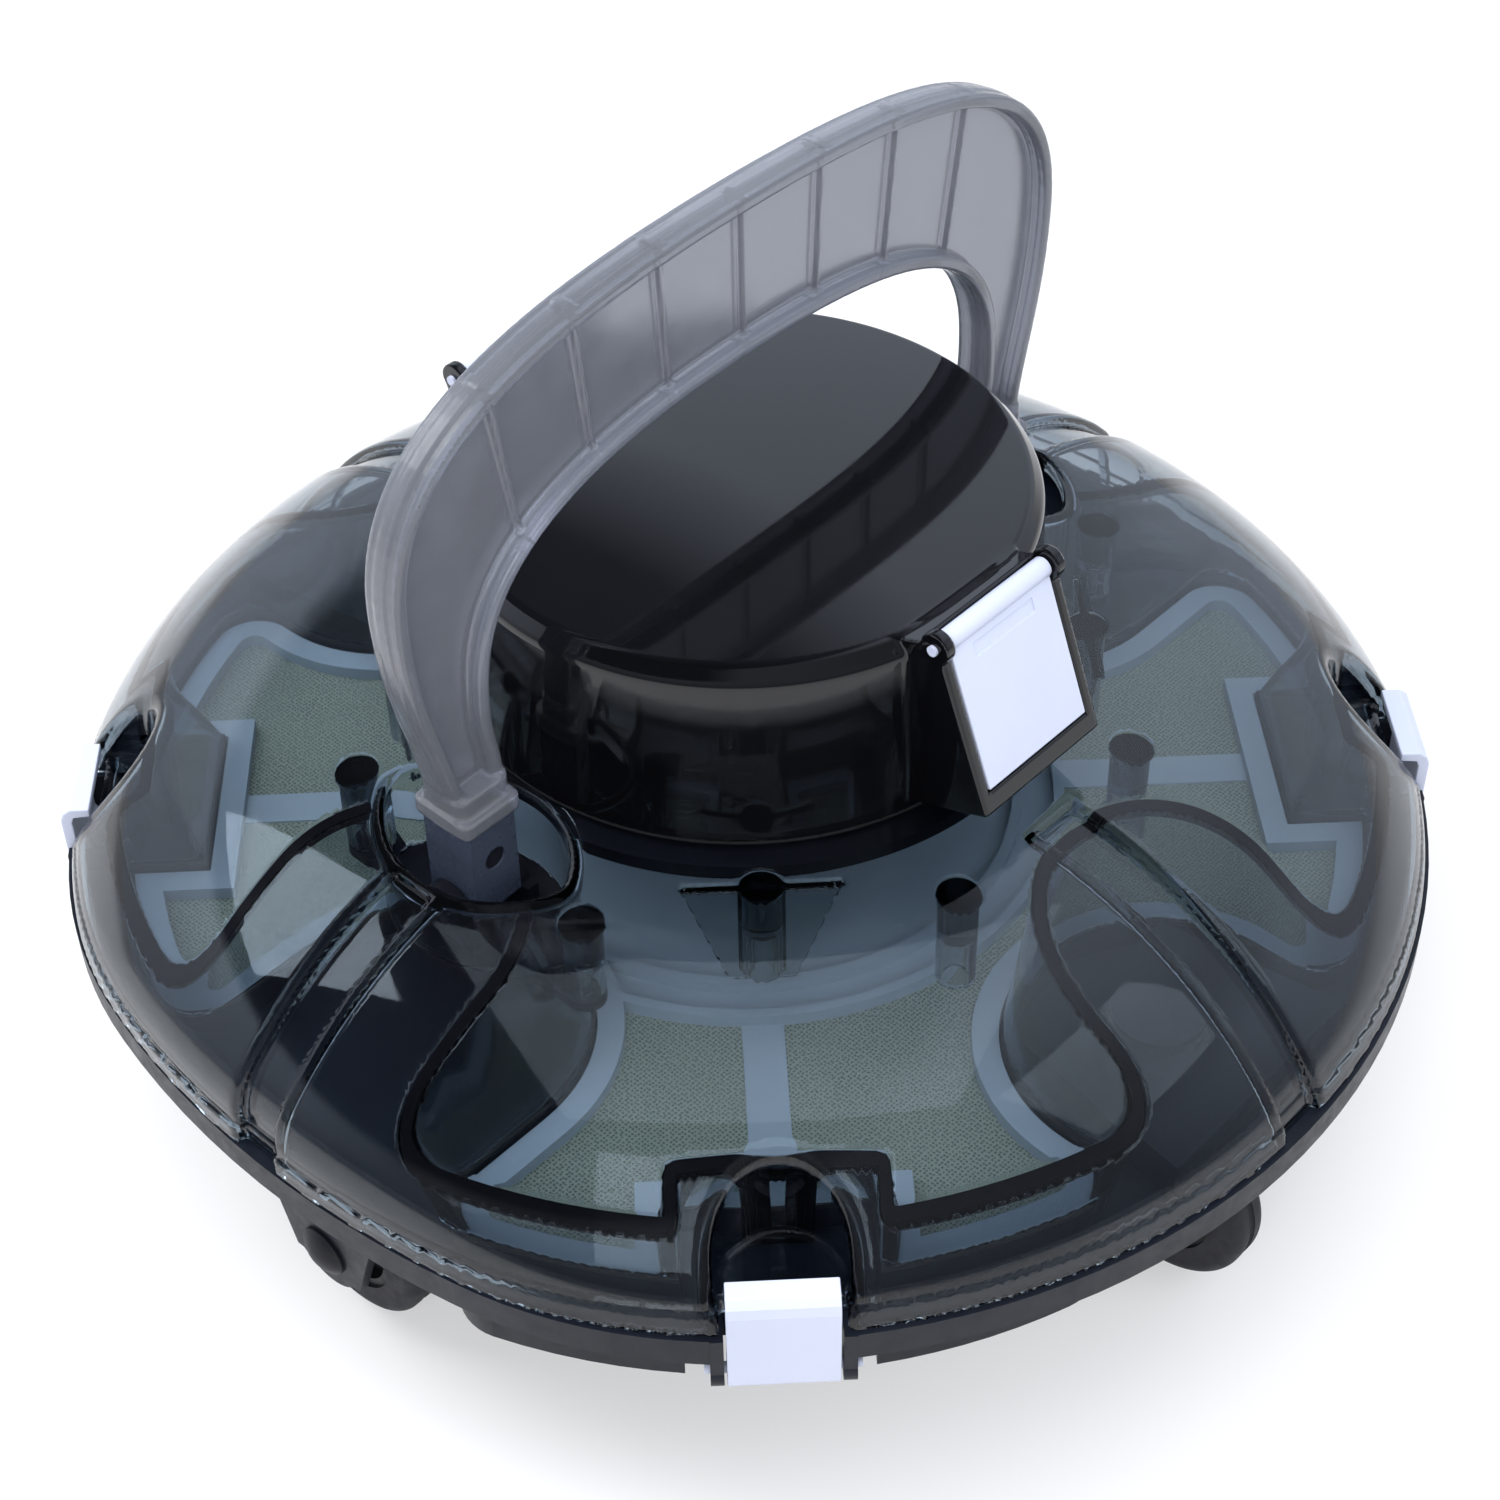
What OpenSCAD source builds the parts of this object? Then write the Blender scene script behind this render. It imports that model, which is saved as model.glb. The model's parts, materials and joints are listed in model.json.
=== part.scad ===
// Cordless water-jet pool cleaner: X runs from jet to jet, Y from handle foot to handle foot,
// +Z is up, and the origin is on the floor under the centre.

/* [Body] */
// Radius of the rim towards the jets and the latches
rim_r = 200; // [198:1:203]
// Half width of the rim across the handle's feet
rim_y = 191.5; // [190:0.5:193]
// Height of the seam between the dome and the base
seam_z = 82.5; // [81:0.5:84]
// Wall thickness of the dome
dome_wall = 2.5; // [2:0.5:3]
// Height of the dome's flat top
dome_top_z = 140; // [139:0.5:141]

/* [Motor cap] */
// Radius of the cap at its foot
cap_foot_r = 84.4; // [84:0.2:85]
// Height of the cap's top edge
cap_edge_z = 198; // [197:0.5:199]
// Tilt of the nozzle flaps from the vertical
flap_tilt = 21; // [19:1:23]
// Height of the nozzle flap's hinge
flap_hinge_z = 200.5; // [200:0.5:202]

/* [Handle] */
// Height of the handle's top
handle_top_z = 287; // [280:1:290]
// Half width of the handle at its shoulders
handle_half_w = 127; // [125:1:128]
// Height of the axis that the handle swings on
handle_pivot_z = 120; // [119:0.5:121]

/* [Running gear] */
// Wheel radius
wheel_r = 28; // [27:0.5:29]
// Tyre width
wheel_w = 14; // [12:1:15]
// Height of the latch pivots
latch_pivot_z = 66; // [65.5:0.5:66.5]

/* [Hidden] */
$fn = 96;

// Rim outline: two circular ends, two flatter sides and four corner arcs, all tangent.
side_arc_r = 300;
corner_arc_r = 140;
blend_turn = 0.8;
side_arc_y = side_arc_r - rim_y;
corner_y = (pow(side_arc_r - corner_arc_r, 2) - pow(rim_r - corner_arc_r, 2) - pow(side_arc_y, 2))
  / (2 * side_arc_y);
corner_x = sqrt(pow(rim_r - corner_arc_r, 2) - pow(corner_y, 2));

// Dome profile: a flat top that runs tangentially into one arc down to the rim.
dome_arc_r = 106.5;
groove_depth = 3;
groove_half_w = 7;
groove_x = 112;
groove_y = 128;
dome_hole_r = 80;

// Base: rim band, deck and the lobed tub under the filter.
band_z = seam_z - 10;
base_top_z = seam_z - 0.5;
deck_t = 3.5;
lobe_r = 184;
lobe_corner_r = 16;
bay_half_w = 42;
bay_x = 154;
bay_y = 131;
bay_y_r = 44;
notch_r = 160;
notch_half_w = 25;
tub_wall = 3;
part_gap = 0.1;
tub_top_z = seam_z + 1.5;
gasket_t = 1;
lobe_floor_z = 45;
well_r = 112;
well_floor_z = 18;
plate_bottom_z = 14;

// Latches.
latch_r = 195.5;
latch_pin_r = 1.5;
clip_half_w = 14.3;
clip_face_r = 200.4;
ear_in = 15;
ear_out = 18.5;
slot_half_w = 16;
slot_r = 191.2;
scoop_r = 17;
scoop_at = 188;
scoop_floor_z = seam_z + 6;
latch_turns = [-45, 45, 135, 225];

// Wheels.
axle_r = 3;
run = 0.05;
wheel_x = 161;
wheel_y = 162;
bracket_t = 3.5;
bracket_gap = wheel_w / 2 + 3;

// Handle wells and feet.
well_at = 105.5;
well_half_l = 32;
well_half_w = 20;
well_arc_r = (pow(well_half_l, 2) + pow(well_half_w, 2)) / (2 * well_half_w);
socket_top_z = 112;
socket_t = 3;
screw_head_h = 2;
foot_in = 99;
foot_out = 115;
foot_half_x = 9;
foot_top_z = 150;
handle_pin_r = 3;
socket_post = [43, 109];
stay_post_r = 98;
side_post = [109, 37];
post_foot_z = 106;
post_r = 5.5;

// Nozzles: positions below are in the nozzle's own frame, whose origin is on the flap's hinge,
// +X out along the jet and -Z down the flap.
flap_hinge_x = 87.5;
flap_half_w = 20;
flap_len = 44;
frame_half_w = 24;
frame_len = 50.5;
duct_r = 18.3;
duct_z = -23;
duct_back = -46;
block_back = -52;
motor_r = 13.5;
motor_len = 27;
flap_pin_r = 1.5;
shaft_r = 2;

// Button and charging socket on the cap's wall.
button_turn = 125;
button_z = 168;
button_r = 7;
charge_turn = 150;
charge_z = 162;

function bezier(a, b, c, d, t) =
  pow(1 - t, 3) * a + 3 * pow(1 - t, 2) * t * b + 3 * (1 - t) * t * t * c + pow(t, 3) * d;

module rim_outline(inset = 0) {
  corner_turn = atan2(corner_y, corner_x) - blend_turn;
  side_turn = atan2(corner_x, corner_y + side_arc_y) - blend_turn / 2;
  far = 2 * side_arc_r;
  for (s = [-1, 1]) {
    intersection() {
      circle(r = rim_r - inset);
      polygon([
        [0, 0],
        [s * far * cos(corner_turn), far * sin(corner_turn)],
        [s * far * cos(corner_turn), -far * sin(corner_turn)]
      ]);
    }
    intersection() {
      translate([0, -s * side_arc_y]) circle(r = side_arc_r - inset);
      polygon([
        [0, -s * side_arc_y],
        [far * sin(side_turn), s * (far * cos(side_turn) - side_arc_y)],
        [-far * sin(side_turn), s * (far * cos(side_turn) - side_arc_y)]
      ]);
    }
    for (t = [-1, 1]) translate([s * corner_x, t * corner_y]) circle(r = corner_arc_r - inset);
  }
}

// Cuts the sharp corner where a bay of half width w meets the circle of the lobes.
module lobe_corner(w, inset) {
  cy = w + lobe_corner_r;
  cx = sqrt(pow(lobe_r - lobe_corner_r, 2) - pow(cy, 2));
  far = lobe_r + 30;
  turn = atan2(cy, cx);
  difference() {
    polygon([[cx, cy], [cx, w - inset - 10], [far, w - inset - 10], [far * cos(turn), far * sin(turn)]]);
    translate([cx, cy]) circle(r = lobe_corner_r - inset);
  }
}

// Four lobes that reach between the wheel bays, each notched behind its latch.
module chamber_outline(inset = 0) {
  difference() {
    circle(r = lobe_r - inset);
    for (s = [-1, 1]) {
      translate([s * bay_x, 0]) circle(r = bay_half_w + inset);
      translate([0, s * bay_y]) circle(r = bay_y_r + inset);
      translate([s * (bay_x + 100), 0]) square([200, 2 * (bay_half_w + inset)], center = true);
      translate([0, s * (bay_y + 100)]) square([2 * (bay_y_r + inset), 200], center = true);
      for (t = [-1, 1]) {
        scale([s, t]) lobe_corner(bay_half_w, inset);
        scale([s, t]) mirror([1, -1]) lobe_corner(bay_y_r, inset);
      }
    }
    for (a = latch_turns) {
      rotate(a) translate([notch_r - inset, -notch_half_w - inset])
        square([60, 2 * (notch_half_w + inset)]);
    }
  }
}

module well_outline(inset = 0) {
  intersection() {
    circle(r = well_r - inset);
    chamber_outline(inset);
  }
}

module slab(z0, z1) {
  translate([0, 0, z0]) linear_extrude(height = z1 - z0) children();
}

module at_latches() {
  for (a = latch_turns) rotate(a) children();
}

module at_nozzle(side) {
  rotate(side > 0 ? 0 : 180) translate([flap_hinge_x, 0, flap_hinge_z]) rotate([0, -flap_tilt, 0]) children();
}

module along_x(r, x0, x1) {
  translate([x0, 0, 0]) rotate([0, 90, 0]) cylinder(r = r, h = x1 - x0);
}

module along_y(r, y0, y1) {
  translate([0, y1, 0]) rotate([90, 0, 0]) cylinder(r = r, h = y1 - y0);
}

// ---- base ----

module bracket_plate(open_web) {
  difference() {
    rotate([90, 0, 0]) linear_extrude(height = bracket_t, center = true) difference() {
      union() {
        polygon([[-30, band_z], [-13, 20], [13, 20], [30, band_z]]);
        translate([0, wheel_r]) circle(r = 13);
      }
      if (open_web) {
        for (s = [-1, 1]) {
          polygon([[s * 5, band_z - 6], [s * 21, band_z - 6], [s * 13.5, 45], [s * 9, 42]]);
        }
      }
    }
    translate([0, 0, wheel_r]) along_y(axle_r, -10, 10);
  }
}

// Fork round a wheel: two plates under one top plate, with the open web on the outside.
module wheel_bracket() {
  translate([0, -bracket_gap - bracket_t / 2, 0]) bracket_plate(true);
  translate([0, bracket_gap + bracket_t / 2, 0]) bracket_plate(false);
  slab(band_z - 3, band_z) square([60, 2 * (bracket_gap + bracket_t)], center = true);
}

module at_wheels() {
  translate([wheel_x, 0, 0]) children();
  translate([-wheel_x, 0, 0]) rotate(180) children();
  translate([0, -wheel_y, 0]) children();
  translate([0, wheel_y, 0]) rotate(180) children();
}

module latch_ear_pair() {
  for (s = [-1, 1]) {
    translate([0, s > 0 ? ear_in : -ear_out, 0]) difference() {
      union() {
        translate([186, 0, latch_pivot_z]) cube([13.5, ear_out - ear_in, base_top_z - latch_pivot_z]);
        translate([latch_r, 0, latch_pivot_z]) along_y(4.6, 0, ear_out - ear_in);
      }
      translate([latch_r, 0, latch_pivot_z]) along_y(latch_pin_r, -5, 10);
    }
  }
}

module bay_cover() {
  difference() {
    slab(band_z, seam_z + 6) polygon([[129, -30], [184, -38], [184, 38], [129, 30]]);
    slab(band_z - 1, seam_z + 3) polygon([[132, -27], [181, -35], [181, 35], [132, 27]]);
  }
  translate([150, 0, seam_z + 5]) cylinder(r = 13, h = 5);
}

module chassis() color([0.19, 0.19, 0.21]) {
  difference() {
    union() {
      slab(band_z, base_top_z) difference() {
        rim_outline();
        rim_outline(4);
      }
      slab(band_z, band_z + deck_t) difference() {
        rim_outline(1);
        chamber_outline(-part_gap);
      }
      for (s = [0, 180]) rotate(s) bay_cover();
    }
    at_latches() translate([190.5, -ear_in, 0]) cube([30, 2 * ear_in, 120]);
  }
  at_latches() latch_ear_pair();
}

// Lobed tub that holds the filter tray, with a round well in its floor.
module filter_tub() color([0.17, 0.17, 0.19]) {
  difference() {
    union() {
      slab(lobe_floor_z, tub_top_z) difference() {
        chamber_outline();
        chamber_outline(tub_wall);
      }
      slab(band_z - 3, band_z) difference() {
        chamber_outline(-6);
        chamber_outline(1);
      }
      slab(lobe_floor_z, lobe_floor_z + 3) difference() {
        chamber_outline(1);
        well_outline(tub_wall);
      }
      slab(well_floor_z, lobe_floor_z + 1) difference() {
        well_outline();
        well_outline(tub_wall);
      }
      slab(well_floor_z, well_floor_z + 3) difference() {
        well_outline(1);
        square([110, 70], center = true);
      }
      slab(band_z, 76) difference() {
        chamber_outline(1);
        chamber_outline(6.5);
      }
      for (p = plate_screw_at) translate([p[0], p[1], well_floor_z]) cylinder(r = 4.5, h = 14);
    }
    for (p = plate_screw_at) translate([p[0], p[1], 0]) cylinder(r = 1.6, h = 29);
  }
}

module wheel_brackets() color([0.2, 0.2, 0.22]) {
  at_wheels() wheel_bracket();
}

plate_screw_at = [[80, 38], [-80, 38], [80, -38], [-80, -38], [0, 74], [0, -74]];
inlet = [72, 20];
inlet_at = 17;
inlet_hinge = [4.5, 23.4];

module suction_plate() color([0.15, 0.15, 0.17]) {
  difference() {
    union() {
      slab(plate_bottom_z, well_floor_z) well_outline(3.5);
      slab(well_floor_z, 21.6) difference() {
        square([90, 62], center = true);
        square([84, 56], center = true);
      }
      for (s = [-1, 1]) slab(well_floor_z - 1, 21.6) difference() {
        translate([0, s * inlet_at]) square([inlet[0] + 5, inlet[1] + 3], center = true);
      }
      for (s = [-1, 1], t = [-1, 1]) {
        translate([s > 0 ? 38.6 : -41.4, t * inlet_hinge[0] - 2.2, well_floor_z - 1]) cube([2.8, 4.4, 8]);
      }
    }
    for (s = [-1, 1]) slab(0, 40) translate([0, s * inlet_at]) square(inlet, center = true);
    for (t = [-1, 1]) translate([0, t * inlet_hinge[0], inlet_hinge[1]]) along_x(1.25, -50, 50);
    for (p = plate_screw_at) translate([p[0], p[1], 0]) cylinder(r = 1.8, h = 40);
  }
}

module wiper_strips() color([0.07, 0.07, 0.07]) {
  for (s = [-1, 1]) translate([s * 62 - 1.5, -45, 3]) cube([3, 90, plate_bottom_z - 3]);
}

module wheel_axles() color([0.15, 0.15, 0.16]) {
  at_wheels() translate([0, 0, wheel_r]) {
    along_y(axle_r, -bracket_gap - bracket_t, bracket_gap + bracket_t);
    intersection() {
      along_y(8, -bracket_gap - bracket_t - 4, -bracket_gap - bracket_t);
      translate([0, -bracket_gap - bracket_t + 8, 0]) sphere(r = 12);
    }
  }
}

module latch_pins() color("white") {
  at_latches() translate([latch_r, 0, latch_pivot_z]) along_y(latch_pin_r, -ear_out - 1.5, ear_out + 1.5);
}

module plate_screws() color([0.7, 0.7, 0.72]) {
  for (p = plate_screw_at) translate([p[0], p[1], 0]) {
    difference() {
      translate([0, 0, plate_bottom_z - 2]) cylinder(r = 3.4, h = 2);
      translate([0, 0, plate_bottom_z - 3]) cylinder(r = 1.6, h = 2, $fn = 6);
    }
    translate([0, 0, plate_bottom_z]) cylinder(r = 1.6, h = 14);
  }
}

module seal_outline() {
  difference() {
    chamber_outline(0.3);
    chamber_outline(2.7);
  }
}

module base_gasket() color([0.1, 0.08, 0.08]) {
  slab(tub_top_z, tub_top_z + gasket_t) seal_outline();
}

// ---- filter ----

spoke_half_w = 5.8;
ring_r = 94;

module filter_bars() {
  circle(r = ring_r);
  for (a = latch_turns) rotate(a) translate([80, -spoke_half_w]) square([notch_r - 80, 2 * spoke_half_w]);
}

module filter_frame() color([0.66, 0.73, 0.76]) {
  slab(76.2, tub_top_z - 1) difference() {
    chamber_outline(3.6);
    chamber_outline(11);
  }
  slab(76.2, 79.5) intersection() {
    filter_bars();
    chamber_outline(5);
  }
  for (r = [ring_r, 82]) slab(79, tub_top_z - 1) intersection() {
    chamber_outline(5);
    difference() {
      circle(r = r);
      circle(r = r - 3);
    }
  }
}

module filter_mesh() color([0.5, 0.55, 0.5]) {
  slab(78, 79) difference() {
    chamber_outline(11);
    filter_bars();
  }
}

// ---- cover ----

module dome_turned(inset, low) {
  arc_r = dome_arc_r - inset / 2;
  rotate_extrude() intersection() {
    union() {
      square([arc_r, dome_top_z - inset]);
      translate([arc_r, dome_top_z - inset - arc_r]) circle(r = arc_r);
    }
    translate([0, low]) square([rim_r + 50, 100]);
  }
}

module scoop_outline(grow) {
  for (a = latch_turns) rotate(a) {
    translate([scoop_at, 0]) circle(r = scoop_r + grow);
    translate([scoop_at, -scoop_r - grow]) square([60, 2 * (scoop_r + grow)]);
  }
}

module slot_outline(grow) {
  for (a = latch_turns) rotate(a) translate([slot_r - grow, -slot_half_w - grow])
    square([60, 2 * (slot_half_w + grow)]);
}

module groove_outline(grow) {
  for (g = [[0, groove_x], [90, groove_y], [180, groove_x], [270, groove_y]]) {
    rotate(g[0]) translate([g[1] - grow, -groove_half_w - grow]) square([100, 2 * (groove_half_w + grow)]);
  }
}

module handle_well_outline(grow) {
  for (a = [0, 180]) rotate(a) intersection() {
    translate([0, -well_at + well_arc_r - well_half_w]) circle(r = well_arc_r + grow);
    translate([0, -well_at - well_arc_r + well_half_w]) circle(r = well_arc_r + grow);
  }
}

// The dome as a solid block; the hollow inside it is the same block, inset by the wall.
module dome_block(inset) {
  low = inset > 0 ? seam_z - 4 : seam_z;
  scoop_z = scoop_floor_z - inset;
  well_z = inset > 0 ? socket_top_z : low;
  sunk = groove_depth + inset;
  intersection() {
    dome_turned(inset, low);
    union() {
      slab(low - 1, scoop_z) difference() {
        rim_outline(inset);
        slot_outline(inset);
        groove_outline(inset);
        if (inset == 0) handle_well_outline(0);
      }
      slab(scoop_z, inset > 0 ? well_z : dome_top_z + 5) difference() {
        rim_outline(inset);
        scoop_outline(inset);
        slot_outline(inset);
        groove_outline(inset);
        if (inset == 0) handle_well_outline(0);
      }
      if (inset > 0) slab(well_z, dome_top_z + 5) difference() {
        rim_outline(inset);
        scoop_outline(inset);
        slot_outline(inset);
        groove_outline(inset);
        handle_well_outline(inset);
      }
    }
  }
  intersection() {
    dome_turned(sunk, low);
    slab(low - 1, dome_top_z + 5) intersection() {
      rim_outline(sunk);
      groove_outline(inset + 1);
    }
  }
}

// Plan of the socket plate that closes a well from below, with an eye under each post.
module socket_outline(grow) {
  handle_well_outline(dome_wall - 0.1 + grow);
  for (s = [-1, 1]) translate([0, s * socket_post[1]]) {
    square([2 * socket_post[0], 2 * (post_r + grow)], center = true);
    for (t = [-1, 1]) translate([t * socket_post[0], 0]) circle(r = post_r + grow);
  }
}

// Lobed rib that presses on the gasket. It is cut away round the socket plates.
module seal_rib() {
  cut_z = socket_top_z - socket_t - screw_head_h - 0.4;
  slab(tub_top_z + gasket_t, cut_z) seal_outline();
  slab(cut_z, dome_top_z) difference() {
    seal_outline();
    socket_outline(0.3);
  }
}

module dome_posts() {
  for (s = [-1, 1], t = [-1, 1]) {
    translate([s * socket_post[0], t * socket_post[1], socket_top_z]) cylinder(r = post_r, h = 40);
    translate([s * side_post[0], t * side_post[1], post_foot_z]) cylinder(r = post_r, h = 40);
  }
  for (a = latch_turns) rotate(a) {
    translate([stay_post_r, 0, post_foot_z]) cylinder(r = post_r, h = 60);
    translate([stay_post_r + 1, 0, 0]) rotate([90, 0, -90]) linear_extrude(height = 2)
      polygon([[-9, 103], [9, 103], [21, 136], [21, 145], [-21, 145], [-21, 136]]);
  }
}

module dome_cover() color([0.33, 0.42, 0.46, 0.55]) {
  difference() {
    union() {
      difference() {
        dome_block(0);
        dome_block(dome_wall);
      }
      intersection() {
        dome_block(dome_wall - 0.3);
        union() {
          seal_rib();
          dome_posts();
        }
      }
      at_latches() translate([186, -scoop_r - 0.2, scoop_floor_z - 1]) cube([4.8, 2 * scoop_r + 0.4, 8.5]);
    }
    cylinder(r = dome_hole_r, h = 200);
    for (s = [-1, 1], t = [-1, 1]) {
      translate([s * socket_post[0], t * socket_post[1], 0]) cylinder(r = 1.5, h = socket_top_z + 14);
      translate([s * side_post[0], t * side_post[1], 0]) cylinder(r = 1.5, h = post_foot_z + 12);
    }
  }
}

cap_foot_z = dome_top_z + 1;
cap_wall = 2.5;

module cap_solid(inset) {
  rotate_extrude() polygon([
    [0, cap_foot_z - (inset > 0 ? 5 : 0)],
    [cap_foot_r - inset, cap_foot_z - (inset > 0 ? 5 : 0)],
    [cap_foot_r - 2 - inset, cap_edge_z - 4.6],
    [cap_foot_r - 3 - inset, cap_edge_z - 2.2 - inset / 2],
    [cap_foot_r - 5.6 - inset, cap_edge_z - inset],
    [50, cap_edge_z + 2 - inset],
    [0, cap_edge_z + 3.4 - inset]
  ]);
}

module nozzle_block() {
  translate([block_back, -frame_half_w, -frame_len]) cube([1.5 - block_back, 2 * frame_half_w, frame_len + 2]);
  for (s = [-1, 1]) {
    translate([0, s > 0 ? flap_half_w + 0.5 : -frame_half_w, 0]) along_y(4.6, 0, frame_half_w - flap_half_w - 0.5);
  }
}

module nozzle_cuts() {
  translate([0, 0, duct_z]) {
    along_x(duct_r, duct_back, 10);
    along_x(6, block_back - 5, duct_back + 1);
  }
  translate([-1.8, -flap_half_w - 0.5, -flap_len - 0.6]) cube([10, 2 * flap_half_w + 1, flap_len + 20]);
  translate([-4.6, -flap_half_w - 0.5, -4.6]) cube([20, 2 * flap_half_w + 1, 20]);
  along_y(flap_pin_r, -frame_half_w - 5, frame_half_w + 5);
}

intake_x = 62;
intake_r = 13;

module motor_cap() color([0.03, 0.03, 0.035]) {
  difference() {
    union() {
      difference() {
        cap_solid(0);
        cap_solid(cap_wall);
      }
      intersection() {
        for (side = [-1, 1]) at_nozzle(side) nozzle_block();
        translate([0, 0, cap_foot_z]) cylinder(r = 130, h = 100);
      }
    }
    for (side = [-1, 1]) {
      at_nozzle(side) nozzle_cuts();
      translate([side * intake_x, 0, cap_foot_z - 5]) cylinder(r = intake_r, h = 30);
    }
    rotate(button_turn) translate([0, 0, button_z]) along_x(button_r + 0.3, 70, 90);
    rotate(charge_turn) translate([0, 0, charge_z]) along_x(8, 70, 90);
  }
}

module cap_gasket() color([0.05, 0.05, 0.05]) {
  slab(dome_top_z, cap_foot_z) difference() {
    circle(r = cap_foot_r - 0.4);
    circle(r = dome_hole_r + 0.6);
  }
}

module motor_base() color([0.08, 0.08, 0.09]) {
  difference() {
    union() {
      translate([0, 0, 133]) cylinder(r = dome_hole_r - 0.4, h = cap_foot_z - 133);
      slab(133, dome_top_z - dome_wall - 0.2) difference() {
        circle(r = 91);
        handle_well_outline(dome_wall + 0.4);
      }
      for (a = [60, 120, 240, 300]) rotate(a) translate([60, 0, 129]) cylinder(r = 5, h = 5);
    }
    translate([0, 0, 136]) cylinder(r = dome_hole_r - 4, h = 10);
    for (side = [-1, 1]) translate([side * intake_x, 0, 120]) cylinder(r = intake_r, h = 30);
  }
  for (side = [-1, 1]) translate([side * intake_x, 0, 135]) difference() {
    cylinder(r = intake_r + 2, h = cap_foot_z - 135);
    translate([0, 0, -1]) cylinder(r = intake_r, h = 20);
  }
}

module battery_pack() color([0.16, 0.3, 0.55]) {
  for (y = [24, 43, 62]) translate([0, y, 147]) along_x(9.4, -33, 33);
  translate([-33, 24, 137.6]) cube([66, 38, 4]);
}

module circuit_board() color([0.08, 0.32, 0.16]) {
  translate([-32, -62, 141]) cube([64, 42, 1.6]);
  for (p = [[-22, -50], [0, -52], [18, -40]]) translate([p[0], p[1], 142.6]) cube([10, 8, 5]);
  translate([-18, -32, 142.6]) cylinder(r = 5, h = 12);
  for (s = [-1, 1], t = [-60, -24]) translate([s * 29, t, 136]) cylinder(r = 2, h = 5);
}

module motor_body() color([0.62, 0.62, 0.64]) {
  translate([0, 0, duct_z]) difference() {
    union() {
      along_x(motor_r, block_back - motor_len, block_back - 0.3);
      along_x(5, block_back - 0.3, block_back + 1);
    }
    along_x(shaft_r + run, block_back - 18, block_back + 5);
  }
}

module motor_px() at_nozzle(1) motor_body();
module motor_nx() at_nozzle(-1) motor_body();

module shaft_seals() color([0.1, 0.1, 0.1]) {
  for (side = [-1, 1]) at_nozzle(side) translate([0, 0, duct_z]) difference() {
    along_x(6, block_back + 1, duct_back);
    along_x(shaft_r + run, block_back - 5, duct_back + 5);
  }
}

module socket_pair() {
  for (a = [0, 180]) rotate(a) children();
}

module handle_sockets() color([0.09, 0.09, 0.1]) {
  socket_pair() {
    difference() {
      slab(socket_top_z - socket_t, socket_top_z) intersection() {
        socket_outline(0);
        translate([-100, -200]) square(200);
      }
      for (s = [-1, 1]) translate([s * socket_post[0], -socket_post[1], 0]) cylinder(r = 1.8, h = 200);
    }
    difference() {
      for (y = [-foot_out - 4.2, -foot_in + 0.4]) {
        translate([0, y, 0]) {
          translate([-11, 0, socket_top_z]) cube([22, 3.8, handle_pivot_z - socket_top_z]);
          translate([0, 0, handle_pivot_z]) along_y(8, 0, 3.8);
        }
      }
      translate([0, 0, handle_pivot_z]) along_y(handle_pin_r, -foot_out - 8, -foot_in + 8);
      translate([-20, -130, socket_top_z - 12]) cube([40, 60, 9]);
    }
  }
}

module handle_pins() color([0.75, 0.76, 0.78]) {
  socket_pair() translate([0, 0, handle_pivot_z]) along_y(handle_pin_r, -foot_out - 4.2, -foot_in + 4.2);
}

module socket_screws() color([0.7, 0.7, 0.72]) {
  socket_pair() for (s = [-1, 1]) translate([s * socket_post[0], -socket_post[1], socket_top_z - socket_t]) {
    translate([0, 0, -screw_head_h]) difference() {
      cylinder(r = 3.2, h = screw_head_h);
      translate([0, 0, -1]) cylinder(r = 1.5, h = 2, $fn = 6);
    }
    cylinder(r = 1.5, h = 14);
  }
}

module flap_pins() color("white") {
  for (side = [-1, 1]) at_nozzle(side) along_y(flap_pin_r, -frame_half_w - 1, frame_half_w + 1);
}

module charge_socket() color([0.12, 0.12, 0.13]) {
  rotate(charge_turn) translate([0, 0, charge_z]) difference() {
    along_x(8, 68, 82.2);
    along_x(5.5, 72, 90);
  }
  rotate(charge_turn) translate([0, 0, charge_z]) along_x(1.2, 71, 79);
}

// ---- handle ----

arch_steps = 24;
shoulder_z = handle_top_z - 61;
inner_top_z = handle_top_z - 46.5;
inner_shoulder = [handle_half_w - 27, handle_top_z - 97];

function arch_side(points, s) = [for (p = points) [s * p[0], p[1]]];
function reversed(list) = [for (i = [len(list) - 1:-1:0]) list[i]];
function curve(a, b, c, d) = [for (i = [0:arch_steps - 1]) bezier(a, b, c, d, i / arch_steps)];

outer_half = concat(
  curve([0, handle_top_z], [78, handle_top_z], [handle_half_w, handle_top_z - 12], [handle_half_w, shoulder_z]),
  curve([handle_half_w, shoulder_z], [handle_half_w, shoulder_z - 31], [118, 178], [116, 158]),
  [[116, 158]]
);
inner_half = concat(
  curve([0, inner_top_z], [62, inner_top_z], [inner_shoulder[0] - 2, inner_top_z - 12.5], inner_shoulder),
  curve(inner_shoulder, [inner_shoulder[0] + 1, inner_shoulder[1] - 18], [98, 172], [98, 158]),
  [[98, 158]]
);

module arch_outline() {
  polygon(concat(arch_side(reversed(outer_half), -1), outer_half, reversed(inner_half), arch_side(inner_half, -1)));
}

module in_arch_plane(width) {
  rotate([90, 0, 90]) linear_extrude(height = width, center = true) children();
}

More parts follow.
